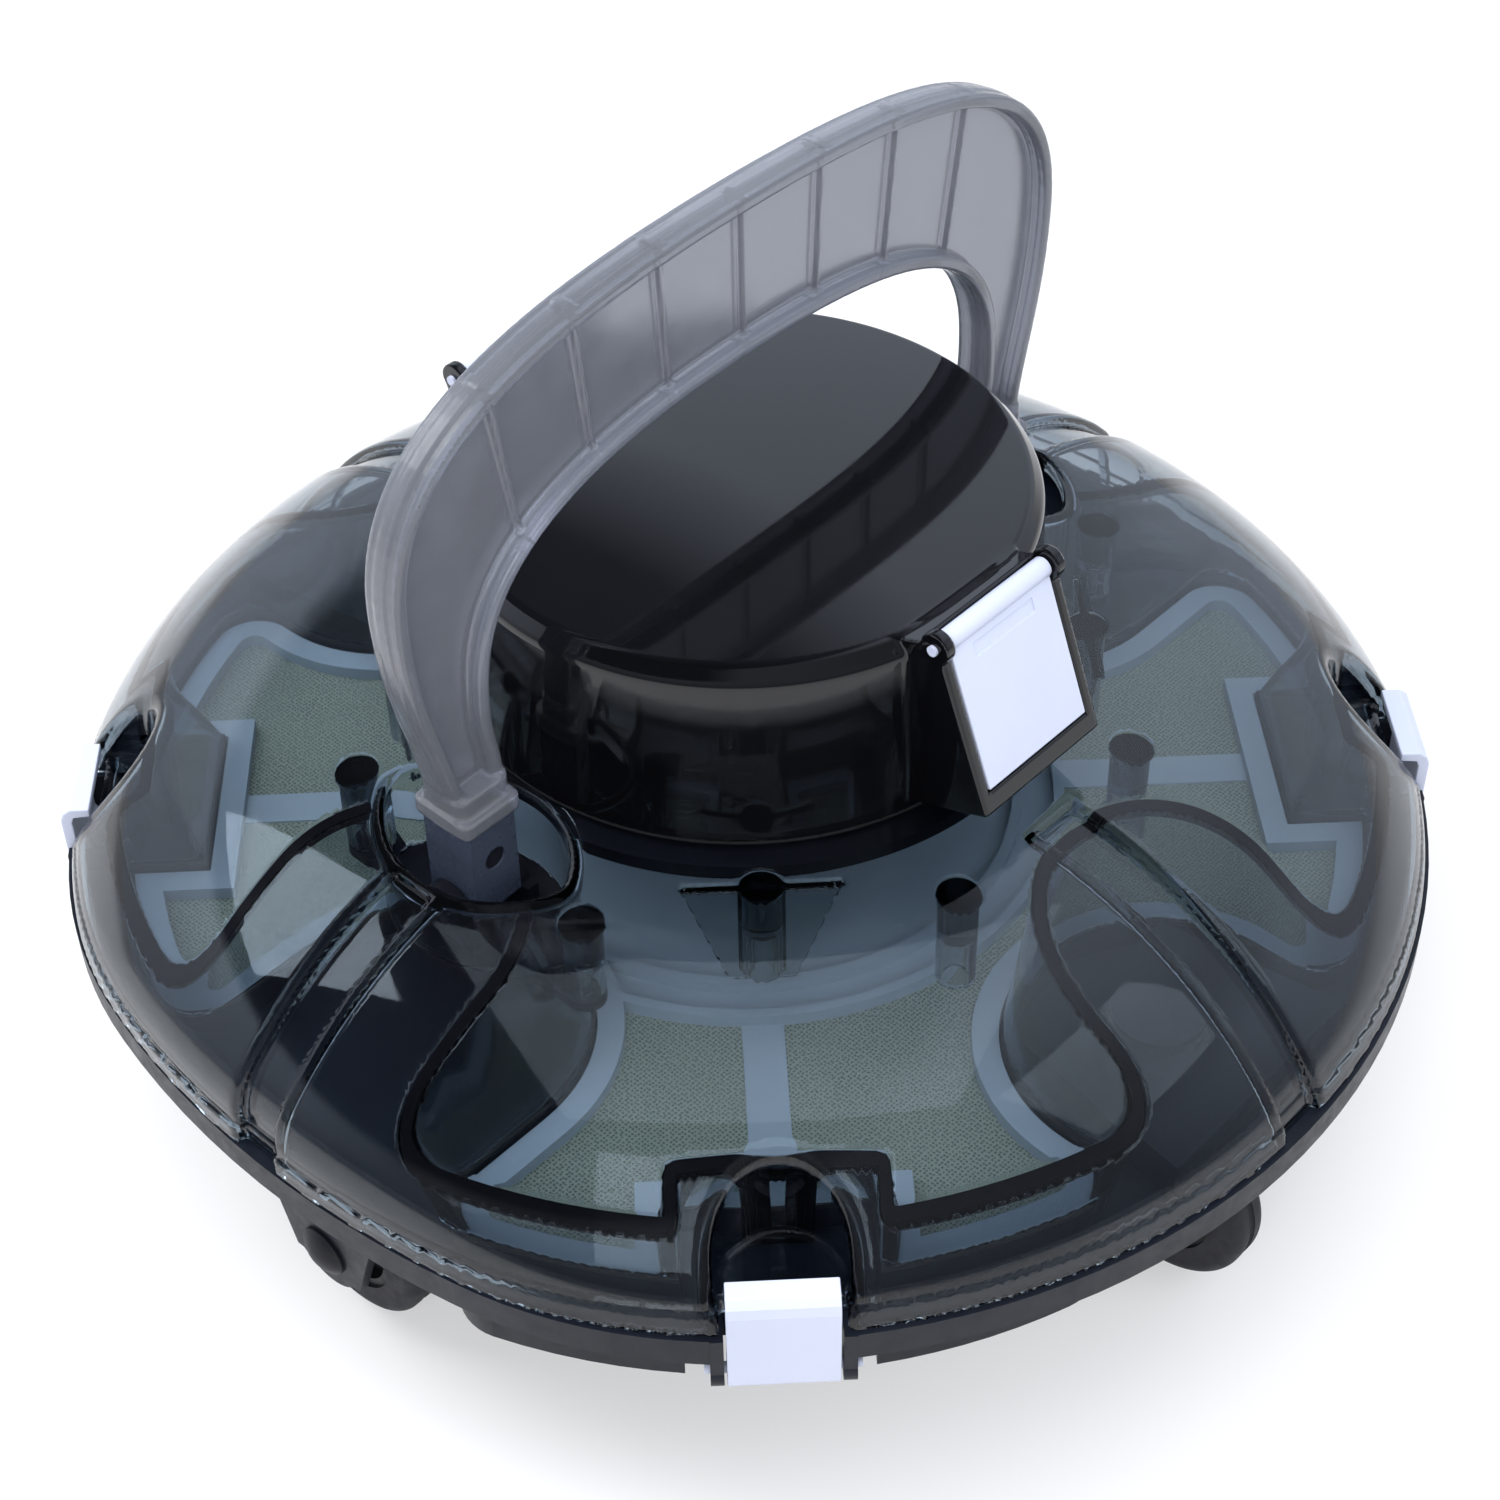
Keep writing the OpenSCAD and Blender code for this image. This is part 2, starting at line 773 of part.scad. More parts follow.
module handle_arch() color([0.42, 0.44, 0.47, 0.75]) {
  in_arch_plane(3) arch_outline();
  in_arch_plane(12) difference() {
    arch_outline();
    offset(delta = -4) arch_outline();
  }
  in_arch_plane(7) intersection() {
    arch_outline();
    for (k = [-3:3]) polygon([
      [k * 26 - 0.8, inner_top_z - 40], [k * 26 + 0.8, inner_top_z - 40],
      [k * 30.5 + 0.8, handle_top_z], [k * 30.5 - 0.8, handle_top_z]
    ]);
  }
  for (s = [-1, 1]) {
    translate([0, s * (foot_in + foot_out) / 2, foot_top_z]) {
      translate([-10.5, -10, 0]) cube([21, 20, 5]);
      translate([-8, -9, 5]) cube([16, 18, 5]);
    }
  }
}

module handle_feet() color([0.4, 0.42, 0.46]) {
  socket_pair() difference() {
    union() {
      translate([-foot_half_x, -foot_out, handle_pivot_z]) cube([2 * foot_half_x, foot_out - foot_in, foot_top_z - handle_pivot_z]);
      translate([0, 0, handle_pivot_z]) along_y(7.5, -foot_out, -foot_in);
    }
    translate([0, 0, handle_pivot_z]) along_y(handle_pin_r + run, -foot_out - 5, -foot_in + 5);
    translate([0, -(foot_in + foot_out) / 2, 137]) along_x(2, -20, 20);
    translate([foot_half_x - 2.5, -(foot_in + foot_out) / 2, 137]) along_x(3.4, 0, 20);
  }
}

module handle_screws() color([0.2, 0.2, 0.22]) {
  socket_pair() translate([0, -(foot_in + foot_out) / 2, 137]) {
    along_x(2, -foot_half_x + 0.5, foot_half_x - 2.5);
    along_x(3.3, foot_half_x - 2.5, foot_half_x - 0.6);
  }
}

// ---- moving pieces ----

module flap() color([0.93, 0.93, 0.98]) {
  difference() {
    union() {
      translate([-1.5, -flap_half_w, -flap_len]) cube([3, 2 * flap_half_w, flap_len]);
      along_y(3, -flap_half_w, flap_half_w);
    }
    along_y(flap_pin_r + run, -30, 30);
    translate([0.9, -12, -8.5]) cube([5, 24, 4]);
  }
}

module flap_px() at_nozzle(1) flap();
module flap_nx() at_nozzle(-1) flap();

module latch_clip() color([0.95, 0.95, 0.97]) {
  difference() {
    union() {
      translate([0, clip_half_w, 0]) rotate([90, 0, 0]) linear_extrude(height = 2 * clip_half_w) polygon([
        [latch_r, latch_pivot_z - 3.6], [clip_face_r - 1.5, latch_pivot_z - 3.6], [clip_face_r, latch_pivot_z - 1],
        [clip_face_r, 92], [clip_face_r - 1, 94.6], [clip_face_r - 3.2, 96.2],
        [slot_r + 0.4, 96.2], [slot_r + 0.4, 93.4], [clip_face_r - 4, 93], [clip_face_r - 3.2, 91],
        [clip_face_r - 3.2, 72], [latch_r, 69]
      ]);
      translate([latch_r, 0, latch_pivot_z]) along_y(4, -clip_half_w, clip_half_w);
    }
    translate([latch_r, 0, latch_pivot_z]) along_y(latch_pin_r + run, -20, 20);
  }
}

module latch_front() rotate(-45) latch_clip();
module latch_right() rotate(45) latch_clip();
module latch_back() rotate(135) latch_clip();
module latch_left() rotate(225) latch_clip();

hub_r = 18;

module hub() color([0.2, 0.2, 0.22]) {
  translate([0, 0, wheel_r]) rotate([90, 0, 0]) difference() {
    union() {
      cylinder(r = hub_r, h = 4, center = true);
      cylinder(r = 6, h = wheel_w, center = true);
      difference() {
        cylinder(r = hub_r, h = wheel_w - 2, center = true);
        cylinder(r = hub_r - 2.5, h = wheel_w, center = true);
      }
    }
    cylinder(r = axle_r + run, h = 40, center = true);
    for (a = [0:60:300]) rotate(a) translate([11, 0, 0]) cylinder(r = 2.6, h = 10, center = true);
  }
}

module tyre() color([0.13, 0.13, 0.14]) {
  edge = 4;
  translate([0, 0, wheel_r]) rotate([90, 0, 0]) rotate_extrude() difference() {
    union() {
      translate([hub_r, -wheel_w / 2]) square([wheel_r - hub_r - edge, wheel_w]);
      translate([hub_r, -wheel_w / 2 + edge]) square([wheel_r - hub_r, wheel_w - 2 * edge]);
      for (s = [-1, 1]) translate([wheel_r - edge, s * (wheel_w / 2 - edge)]) circle(r = edge);
    }
    translate([wheel_r, 0]) circle(r = 1.2);
  }
}

module tyre_px() translate([wheel_x, 0, 0]) tyre();
module tyre_nx() translate([-wheel_x, 0, 0]) tyre();
module tyre_py() translate([0, wheel_y, 0]) tyre();
module tyre_ny() translate([0, -wheel_y, 0]) tyre();
module hub_px() translate([wheel_x, 0, 0]) hub();
module hub_nx() translate([-wheel_x, 0, 0]) hub();
module hub_py() translate([0, wheel_y, 0]) hub();
module hub_ny() translate([0, -wheel_y, 0]) hub();

module propeller() color([0.85, 0.85, 0.82]) {
  hub_x = -20;
  translate([0, 0, duct_z]) {
    along_x(shaft_r, block_back - 16, hub_x + 1);
    along_x(5, hub_x - 8, hub_x + 2);
    for (a = [0:120:240]) rotate([a, 0, 0]) translate([hub_x - 3, 0, 3]) rotate([0, 0, 32])
      translate([-0.9, -5, 0]) cube([1.8, 10, 12.5]);
  }
}

module propeller_px() at_nozzle(1) propeller();
module propeller_nx() at_nozzle(-1) propeller();

module inlet_flap() color([0.1, 0.1, 0.1]) {
  y0 = inlet_hinge[0];
  translate([0, y0, inlet_hinge[1]]) along_x(1.2, -41, 41);
  translate([-37.5, y0, inlet_hinge[1] - 1.2]) cube([75, inlet_at + inlet[1] / 2 + 1 - y0, 1.5]);
}

module inlet_flap_py() inlet_flap();
module inlet_flap_ny() mirror([0, 1, 0]) inlet_flap();

module power_button() color([0.7, 0.12, 0.1]) {
  rotate(button_turn) translate([0, 0, button_z]) {
    along_x(button_r, 79, 85.5);
    along_x(button_r + 2, 77, 79);
  }
}

module charge_plug() color([0.1, 0.1, 0.1]) {
  rotate(charge_turn) translate([0, 0, charge_z]) {
    along_x(5.4, 79.5, 84.4);
    along_x(8.5, 84.2, 86.2);
  }
}

chassis();
filter_tub();
wheel_brackets();
suction_plate();
wiper_strips();
wheel_axles();
latch_pins();
plate_screws();
base_gasket();
filter_frame();
filter_mesh();
dome_cover();
motor_cap();
cap_gasket();
motor_base();
battery_pack();
circuit_board();
motor_px();
motor_nx();
shaft_seals();
handle_sockets();
handle_pins();
socket_screws();
flap_pins();
charge_socket();
handle_arch();
handle_feet();
handle_screws();
flap_px();
flap_nx();
latch_front();
latch_right();
latch_back();
latch_left();
tyre_px();
tyre_nx();
tyre_py();
tyre_ny();
hub_px();
hub_nx();
hub_py();
hub_ny();
propeller_px();
propeller_nx();
inlet_flap_py();
inlet_flap_ny();
power_button();
charge_plug();
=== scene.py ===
import json
import math

import bmesh
import bpy
import numpy as np
import openvdb
from mathutils import Matrix, Vector


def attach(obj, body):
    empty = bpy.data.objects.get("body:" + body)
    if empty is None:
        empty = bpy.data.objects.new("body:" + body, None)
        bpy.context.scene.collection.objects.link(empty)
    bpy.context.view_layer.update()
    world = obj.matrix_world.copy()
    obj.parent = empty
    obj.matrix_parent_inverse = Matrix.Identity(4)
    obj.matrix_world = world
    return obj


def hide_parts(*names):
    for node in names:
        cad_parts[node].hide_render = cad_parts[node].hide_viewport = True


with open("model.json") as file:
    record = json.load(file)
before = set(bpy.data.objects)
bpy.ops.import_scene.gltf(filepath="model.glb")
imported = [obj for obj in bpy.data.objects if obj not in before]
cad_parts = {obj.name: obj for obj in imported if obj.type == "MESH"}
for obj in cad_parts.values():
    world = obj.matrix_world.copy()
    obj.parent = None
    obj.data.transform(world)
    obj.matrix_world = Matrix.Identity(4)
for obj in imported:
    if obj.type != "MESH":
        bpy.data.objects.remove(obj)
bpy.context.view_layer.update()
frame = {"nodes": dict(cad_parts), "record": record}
nodes = frame["nodes"]
MM = 0.001


# ---------------------------------------------------------------- materials

def new_material(name):
    m = bpy.data.materials.new(name)
    m.use_nodes = True
    t = m.node_tree
    t.nodes.clear()
    out = t.nodes.new("ShaderNodeOutputMaterial")
    b = t.nodes.new("ShaderNodeBsdfPrincipled")
    t.links.new(b.outputs["BSDF"], out.inputs["Surface"])
    return m, t, b, out


def coords(t):
    return t.nodes.new("ShaderNodeTexCoord").outputs["Object"]


def noise(t, vec, scale, detail=4.0, rough=0.5):
    n = t.nodes.new("ShaderNodeTexNoise")
    n.inputs["Scale"].default_value = scale
    n.inputs["Detail"].default_value = detail
    n.inputs["Roughness"].default_value = rough
    t.links.new(vec, n.inputs["Vector"])
    return n.outputs["Fac"]


def ramp(t, fac, stops):
    r = t.nodes.new("ShaderNodeValToRGB")
    r.color_ramp.elements[0].position = stops[0][0]
    r.color_ramp.elements[0].color = (*stops[0][1], 1)
    r.color_ramp.elements[1].position = stops[-1][0]
    r.color_ramp.elements[1].color = (*stops[-1][1], 1)
    for pos, col in stops[1:-1]:
        e = r.color_ramp.elements.new(pos)
        e.color = (*col, 1)
    t.links.new(fac, r.inputs["Fac"])
    return r.outputs["Color"]


def rng(t, fac, lo, hi, a=0.0, b=1.0):
    m = t.nodes.new("ShaderNodeMapRange")
    m.inputs["From Min"].default_value = a
    m.inputs["From Max"].default_value = b
    m.inputs["To Min"].default_value = lo
    m.inputs["To Max"].default_value = hi
    t.links.new(fac, m.inputs["Value"])
    return m.outputs["Result"]


def bump(t, b, height, strength, distance):
    n = t.nodes.new("ShaderNodeBump")
    n.inputs["Strength"].default_value = strength
    n.inputs["Distance"].default_value = distance
    t.links.new(height, n.inputs["Height"])
    t.links.new(n.outputs["Normal"], b.inputs["Normal"])


GRAIN_SCALE = 2600


def plastic(name, dark, light, rough, grain=0.00002, spec=0.5):
    """Moulded plastic: broad colour drift, scuffed gloss and a fine moulding grain."""
    m, t, b, out = new_material(name)
    vec = coords(t)
    broad = noise(t, vec, 22, 5, 0.6)
    fine = noise(t, vec, GRAIN_SCALE, 2, 0.5)
    scuff = noise(t, vec, 160, 6, 0.7)
    t.links.new(ramp(t, broad, [(0.3, dark), (0.7, light)]), b.inputs["Base Color"])
    t.links.new(rng(t, scuff, rough[0], rough[1], 0.35, 0.65), b.inputs["Roughness"])
    b.inputs["Specular IOR Level"].default_value = spec
    bump(t, b, fine, 0.35, grain)
    return m


def metal(name, colour, rough=(0.22, 0.4)):
    m, t, b, out = new_material(name)
    vec = coords(t)
    b.inputs["Metallic"].default_value = 1.0
    streak = noise(t, vec, 900, 3, 0.6)
    broad = noise(t, vec, 40, 4, 0.5)
    dark = tuple(c * 0.8 for c in colour)
    t.links.new(ramp(t, broad, [(0.3, dark), (0.7, colour)]), b.inputs["Base Color"])
    t.links.new(rng(t, streak, rough[0], rough[1], 0.3, 0.7), b.inputs["Roughness"])
    bump(t, b, streak, 0.2, 0.00002)
    return m


def cloth(name):
    """Fine woven filter cloth: rows of pores about a millimetre apart."""
    m, t, b, out = new_material(name)
    vec = coords(t)
    pore = t.nodes.new("ShaderNodeTexVoronoi")
    pore.inputs["Scale"].default_value = 850
    pore.inputs["Randomness"].default_value = 0.35
    t.links.new(vec, pore.inputs["Vector"])
    weave = rng(t, pore.outputs["Distance"], 0.0, 1.0, 0.15, 0.55)
    broad = noise(t, vec, 30, 4, 0.6)
    mix = t.nodes.new("ShaderNodeMath")
    mix.operation = "MULTIPLY_ADD"
    t.links.new(broad, mix.inputs[0])
    mix.inputs[1].default_value = 0.35
    t.links.new(weave, mix.inputs[2])
    thread = ramp(t, mix.outputs[0], [(0.1, (0.07, 0.08, 0.065)), (0.9, (0.27, 0.3, 0.24))])
    t.links.new(thread, b.inputs["Base Color"])
    b.inputs["Roughness"].default_value = 0.85
    bump(t, b, weave, 0.5, 0.0002)
    return m


MAT = {
    "base_graphite": plastic("base_graphite", (0.006, 0.0075, 0.012), (0.010, 0.012, 0.018),
                             (0.34, 0.48), spec=0.22),
    "base_black": plastic("base_black", (0.005, 0.005, 0.008), (0.009, 0.009, 0.013),
                          (0.38, 0.55), spec=0.22),
    # Near-black and matte: painted shade for the dark line where the dome's rib meets its skin.
    "painted_shade_black": plastic("painted_shade_black", (0.003, 0.0025, 0.004), (0.005, 0.004, 0.006),
                          (0.6, 0.75), spec=0.1),
    "black_rubber": plastic("black_rubber", (0.012, 0.012, 0.012), (0.02, 0.02, 0.02), (0.65, 0.85)),
    "wheel_rubber": plastic("wheel_rubber", (0.012, 0.012, 0.015), (0.02, 0.02, 0.024),
                            (0.55, 0.75), spec=0.3),
    "white_plastic": plastic("white_plastic", (0.53, 0.56, 0.68), (0.57, 0.6, 0.72),
                             (0.28, 0.4), spec=0.35),
    "steel": metal("steel", (0.6, 0.6, 0.62)),
    "filter_grey": plastic("filter_grey", (0.31, 0.36, 0.4), (0.36, 0.41, 0.45), (0.4, 0.55)),
    "filter_cloth": cloth("filter_cloth"),
    "foot_grey": plastic("foot_grey", (0.03, 0.036, 0.055), (0.042, 0.05, 0.074), (0.22, 0.36)),
    "gloss_black": plastic("gloss_black", (0.002, 0.002, 0.0025), (0.003, 0.003, 0.004),
                           (0.03, 0.07), 0.000003),
    "battery_wrap": plastic("battery_wrap", (0.04, 0.12, 0.34), (0.06, 0.16, 0.4), (0.2, 0.35)),
    "board_green": plastic("board_green", (0.01, 0.12, 0.04), (0.02, 0.18, 0.07), (0.3, 0.45)),
    "button_red": plastic("button_red", (0.38, 0.02, 0.015), (0.46, 0.03, 0.02), (0.4, 0.55)),
}


def clear_plastic(name, body, density, rough, through, clear=1.0, milk=(1, 1, 1)):
    """Tinted clear plastic. It absorbs light along its depth, and lamps shine through it."""
    m, t, b, out = new_material(name)
    vec = coords(t)
    b.inputs["Base Color"].default_value = (*milk, 1)
    b.inputs["Transmission Weight"].default_value = clear
    b.inputs["IOR"].default_value = 1.49
    t.links.new(rng(t, noise(t, vec, 90, 5, 0.6), rough[0], rough[1], 0.35, 0.65), b.inputs["Roughness"])
    bump(t, b, noise(t, vec, 11, 2, 0.4), 0.12, 0.0006)
    open_air = t.nodes.new("ShaderNodeBsdfTransparent")
    open_air.inputs["Color"].default_value = (*through, 1)
    path = t.nodes.new("ShaderNodeLightPath")
    mix = t.nodes.new("ShaderNodeMixShader")
    t.links.new(path.outputs["Is Shadow Ray"], mix.inputs["Fac"])
    t.links.new(b.outputs["BSDF"], mix.inputs[1])
    t.links.new(open_air.outputs["BSDF"], mix.inputs[2])
    t.links.new(mix.outputs["Shader"], out.inputs["Surface"])
    depth = t.nodes.new("ShaderNodeVolumeAbsorption")
    depth.inputs["Color"].default_value = (*body, 1)
    depth.inputs["Density"].default_value = density
    t.links.new(depth.outputs["Volume"], out.inputs["Volume"])
    return m


MAT["smoky_clear"] = clear_plastic("smoky_clear", (0.06, 0.18, 0.27), 255, (0.012, 0.04), (0.95, 0.97, 1.0))
MAT["smoky_handle"] = clear_plastic("smoky_handle", (0.5, 0.52, 0.6), 170, (0.14, 0.24), (0.6, 0.62, 0.68),
                                    0.7, (0.34, 0.35, 0.38))

slot_of = {s["node"]: s["material_slot"] for s in frame["record"]["subparts"]}
for name, obj in nodes.items():
    obj.data.materials.clear()
    obj.data.materials.append(MAT[slot_of[name]])


# ---------------------------------------------------------------- shapes from distance fields
# Each shell is a distance function in millimetres. Its surface is meshed, every point is moved
# onto the exact surface, and its normals come from the function itself.

def smax(a, b, k):
    h = np.clip(0.5 + 0.5 * (a - b) / k, 0, 1)
    return b * (1 - h) + a * h + k * h * (1 - h)


def smin(a, b, k):
    return -smax(-a, -b, k)


def box2(x, y, hx, hy, r=0.0):
    qx, qy = np.abs(x) - hx + r, np.abs(y) - hy + r
    return np.hypot(np.maximum(qx, 0), np.maximum(qy, 0)) + np.minimum(np.maximum(qx, qy), 0) - r


def gradient(f, p, e=0.05):
    g = np.empty_like(p)
    for i in range(3):
        d = np.zeros(3)
        d[i] = e
        g[:, i] = (f(*(p + d).T) - f(*(p - d).T)) / (2 * e)
    return g


def field_mesh(name, f, lo, hi, step):
    """Mesh of the surface f = 0 inside a box, in millimetres, with the field's own normals."""
    axes = [np.arange(a - 2 * step, b + 3 * step, step) for a, b in zip(lo, hi)]
    grid = np.meshgrid(*axes, indexing="ij")
    values = f(*grid).astype(np.float32)
    volume = openvdb.FloatGrid(4 * step)
    volume.copyFromArray(np.clip(values, -4 * step, 4 * step))
    points, quads = volume.convertToQuads(0.0)
    p = points.astype(float) * step + np.array([a[0] for a in axes])
    for _ in range(3):
        g = gradient(f, p)
        move = -(f(*p.T) / np.maximum((g * g).sum(1), 0.25))[:, None] * g
        size = np.linalg.norm(move, axis=1, keepdims=True)
        p += move * np.minimum(1, 0.6 * step / np.maximum(size, 1e-9))
    g = gradient(f, p)
    n = g / np.maximum(np.linalg.norm(g, axis=1, keepdims=True), 1e-9)
    me = bpy.data.meshes.new(name)
    me.vertices.add(len(p))
    me.vertices.foreach_set("co", (p * MM).astype(np.float32).ravel())
    me.loops.add(quads.size)
    flat = quads[:, ::-1].astype(np.int32).ravel()
    me.loops.foreach_set("vertex_index", flat)
    me.polygons.add(len(quads))
    me.polygons.foreach_set("loop_start", np.arange(0, quads.size, 4, dtype=np.int32))
    me.polygons.foreach_set("use_smooth", np.ones(len(quads), bool))
    me.update(calc_edges=True)
    me.validate()
    q = me.polygons[len(me.polygons) // 2]
    if Vector(q.normal).dot(Vector(n[q.vertices[0]])) < 0:
        me.flip_normals()
    me.normals_split_custom_set_from_vertices(n.astype(np.float32).tolist())
    o = bpy.data.objects.new(name, me)
    bpy.context.scene.collection.objects.link(o)
    return o


def add_piece(obj, body, material, *replaced, slot=None):
    obj.data.materials.append(MAT[material])
    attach(obj, body)
    if replaced:
        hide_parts(*replaced)
    return obj


# ---------------------------------------------------------------- dome

RIM_R, RIM_Y, SIDE_R, CORNER_R = 200.0, 191.5, 300.0, 140.0
SIDE_Y = SIDE_R - RIM_Y
CORNER_Y = ((SIDE_R - CORNER_R) ** 2 - (RIM_R - CORNER_R) ** 2 - SIDE_Y ** 2) / (2 * SIDE_Y)
CORNER_X = math.sqrt((RIM_R - CORNER_R) ** 2 - CORNER_Y ** 2)
SEAM, TOP, ARC = 82.5, 140.0, 106.5
WALL = 2.5


def rim2(x, y):
    x, y = np.abs(x), np.abs(y)
    end = np.hypot(x, y) - RIM_R
    side = np.hypot(x, y + SIDE_Y) - SIDE_R
    corner = np.hypot(x - CORNER_X, y - CORNER_Y) - CORNER_R
    return np.where(y * CORNER_X < x * CORNER_Y, end,
                    np.where(x * (CORNER_Y + SIDE_Y) < CORNER_X * (y + SIDE_Y), side, corner))


def lobes2(x, y, reach, at_x, half_x, at_y, half_y, notch_at, notch_half):
    """Outline with four lobes between the wheel bays, notched behind the latches; negative inside."""
    x, y = np.abs(x), np.abs(y)
    bay_x = np.where(x < at_x, np.hypot(x - at_x, y) - half_x, y - half_x)
    bay_y = np.where(y < at_y, np.hypot(x, y - at_y) - half_y, x - half_y)
    out = smax(np.hypot(x, y) - reach, -bay_x, 18)
    out = smax(out, -bay_y, 18)
    along, across = (x + y) / math.sqrt(2), (x - y) / math.sqrt(2)
    notch = smax(notch_at - along, np.abs(across) - notch_half, 2)
    return smax(out, -notch, 3)


def chamber2(x, y):
    """Middle of the tub's gasket."""
    return lobes2(x, y, 182.5, 154, 43.5, 131, 45.5, 158.5, 26.5)


def line2(x, y):
    """Middle of the seal rib where it meets the dome."""
    return lobes2(x, y, 182.3, 154.5, 38, 140, 38, 170, 26.5)


def well2(x, y, grow=0.0):
    """Boat-shaped outline of the well round a handle foot."""
    r = (32.0 ** 2 + 20.0 ** 2) / 40
    y = np.abs(y) - 105.5
    return smax(np.hypot(x, y - r + 20) - r, np.hypot(x, y + r - 20) - r, 4) - grow


GROOVE_HALF, GROOVE_DEPTH = 7, 3
SCOOP_AT, SCOOP_HALF, SCOOP_FLOOR = 188, 17, 88.5


def dome_skin(x, y, z):
    """Outer skin of the dome with its grooves, scoops, slots and wells, open at the bottom."""
    ax, ay = np.abs(x), np.abs(y)
    r = np.hypot(x, y)
    rim = rim2(x, y) + 1.3 * np.clip((z - 88.2) / 0.8, 0, 1)
    turned = np.where(r < ARC, z - TOP, np.hypot(r - ARC, np.maximum(z - TOP + ARC, 0)) - ARC)
    body = smax(turned, rim, 5)
    sunk = -(body + GROOVE_DEPTH)
    body = smax(body, -smax(smax(ay - GROOVE_HALF, sunk, 1), 112 - ax, 2), 2.2)
    body = smax(body, -smax(smax(ax - GROOVE_HALF, sunk, 1), 128 - ay, 2), 2.2)
    along, across = (ax + ay) / math.sqrt(2), (ax - ay) / math.sqrt(2)
    scoop = np.where(along < SCOOP_AT, np.hypot(along - SCOOP_AT, across), np.abs(across)) - SCOOP_HALF
    body = smax(body, -smax(scoop, SCOOP_FLOOR - z, 3), 3)
    body = smax(body, -np.maximum(191.2 - along, np.abs(across) - 16), 1)
    return smax(body, -well2(x, y), 2.5)


def rib_middle(x, y, z):
    """The rib leans from the gasket below to its line on the dome above."""
    up = np.clip((z - 85) / (seal_ceiling(x, y) - 85), 0, 1)
    return (1 - up) * chamber2(x, y) + up * line2(x, y)


def seal_ceiling(x, y):
    """Height at which the rib's lean ends, a little under the dome's skin."""
    r = np.hypot(x, y)
    return TOP - 4 - ARC + np.sqrt(np.maximum(ARC ** 2 - np.maximum(r - ARC, 0) ** 2, 60))


def follow_zero(f, x, y, step):
    """Points about one step apart along the closed curve f = 0 that passes near (x, y)."""
    e, points = 0.05, []
    while len(points) < 4000:
        for _ in range(3):
            value = f(x, y)
            gx, gy = (f(x + e, y) - f(x - e, y)) / (2 * e), (f(x, y + e) - f(x, y - e)) / (2 * e)
            size = gx * gx + gy * gy
            x, y = x - value * gx / size, y - value * gy / size
        size = math.sqrt(size)
        points.append((x, y, gx / size, gy / size))
        if len(points) > 20 and math.hypot(x - points[0][0], y - points[0][1]) < 0.9 * step:
            break
        x, y = x - gy / size * step, y + gx / size * step
    return np.array(points[:-1], float)


def inner_face_z(x, y):
    """Height of the dome's inner face over a point, found by halving."""
    lo, hi = np.full(x.shape, 86.0), np.full(x.shape, 142.0)
    for _ in range(24):
        mid = (lo + hi) / 2
        under = dome_skin(x, y, mid) + WALL < 0
        lo, hi = np.where(under, mid, lo), np.where(under, hi, mid)
    return lo


# Half width, rise and drop of the dark strip that paints the shade line at the rib's root.
SHADE_LINE_HALF, SHADE_LINE_RISE, SHADE_LINE_DROP = 1.4, 0.15, 3.2


def sweep_shade_line():
    """Dark strip along the root of the rib, hung from the dome's inner face and open at the wells: painted
    shade for the dark line that the rib's wall shows where it meets the dome.
    """
    path = follow_zero(line2, 182.3 * math.cos(0.6), 182.3 * math.sin(0.6), 1.0)
    offsets = SHADE_LINE_HALF * np.array([-1, -0.5, 0, 0.5, 1])
    x = path[:, :1] + path[:, 2:3] * offsets
    y = path[:, 1:2] + path[:, 3:4] * offsets
    z = inner_face_z(x, y)
    ok = well2(x, y).min(axis=1) > 3.0
    first = int(np.argmin(ok))
    order = (np.arange(len(path)) + first) % len(path)
    bm = bmesh.new()
    ring, rings = None, []
    for k in order:
        if not ok[k]:
            ring = None
            continue
        top = [(x[k, i], y[k, i], z[k, i] + SHADE_LINE_RISE) for i in range(5)]
        low = [(x[k, i], y[k, i], z[k, i] - SHADE_LINE_DROP) for i in range(4, -1, -1)]
        now = [bm.verts.new([c * MM for c in p]) for p in top + low]
        if ring:
            for i in range(10):
                bm.faces.new((ring[i], ring[(i + 1) % 10], now[(i + 1) % 10], now[i]))
        rings.append((now, ring is None))
        ring = now
    for i, (now, start) in enumerate(rings):
        if start:
            bm.faces.new(now)
        if i + 1 == len(rings) or rings[i + 1][1]:
            bm.faces.new(now)
    bmesh.ops.recalc_face_normals(bm, faces=bm.faces)
    me = bpy.data.meshes.new("painted_shade_line")
    bm.to_mesh(me)
    bm.free()
    o = bpy.data.objects.new("painted_shade_line", me)
    bpy.context.scene.collection.objects.link(o)
    return o


SOCKET_POST, SIDE_POST, STAY_POST_R = (43, 109), (109, 37), 98
POST_R, POST_HOLE_R = 5.5, 3.9


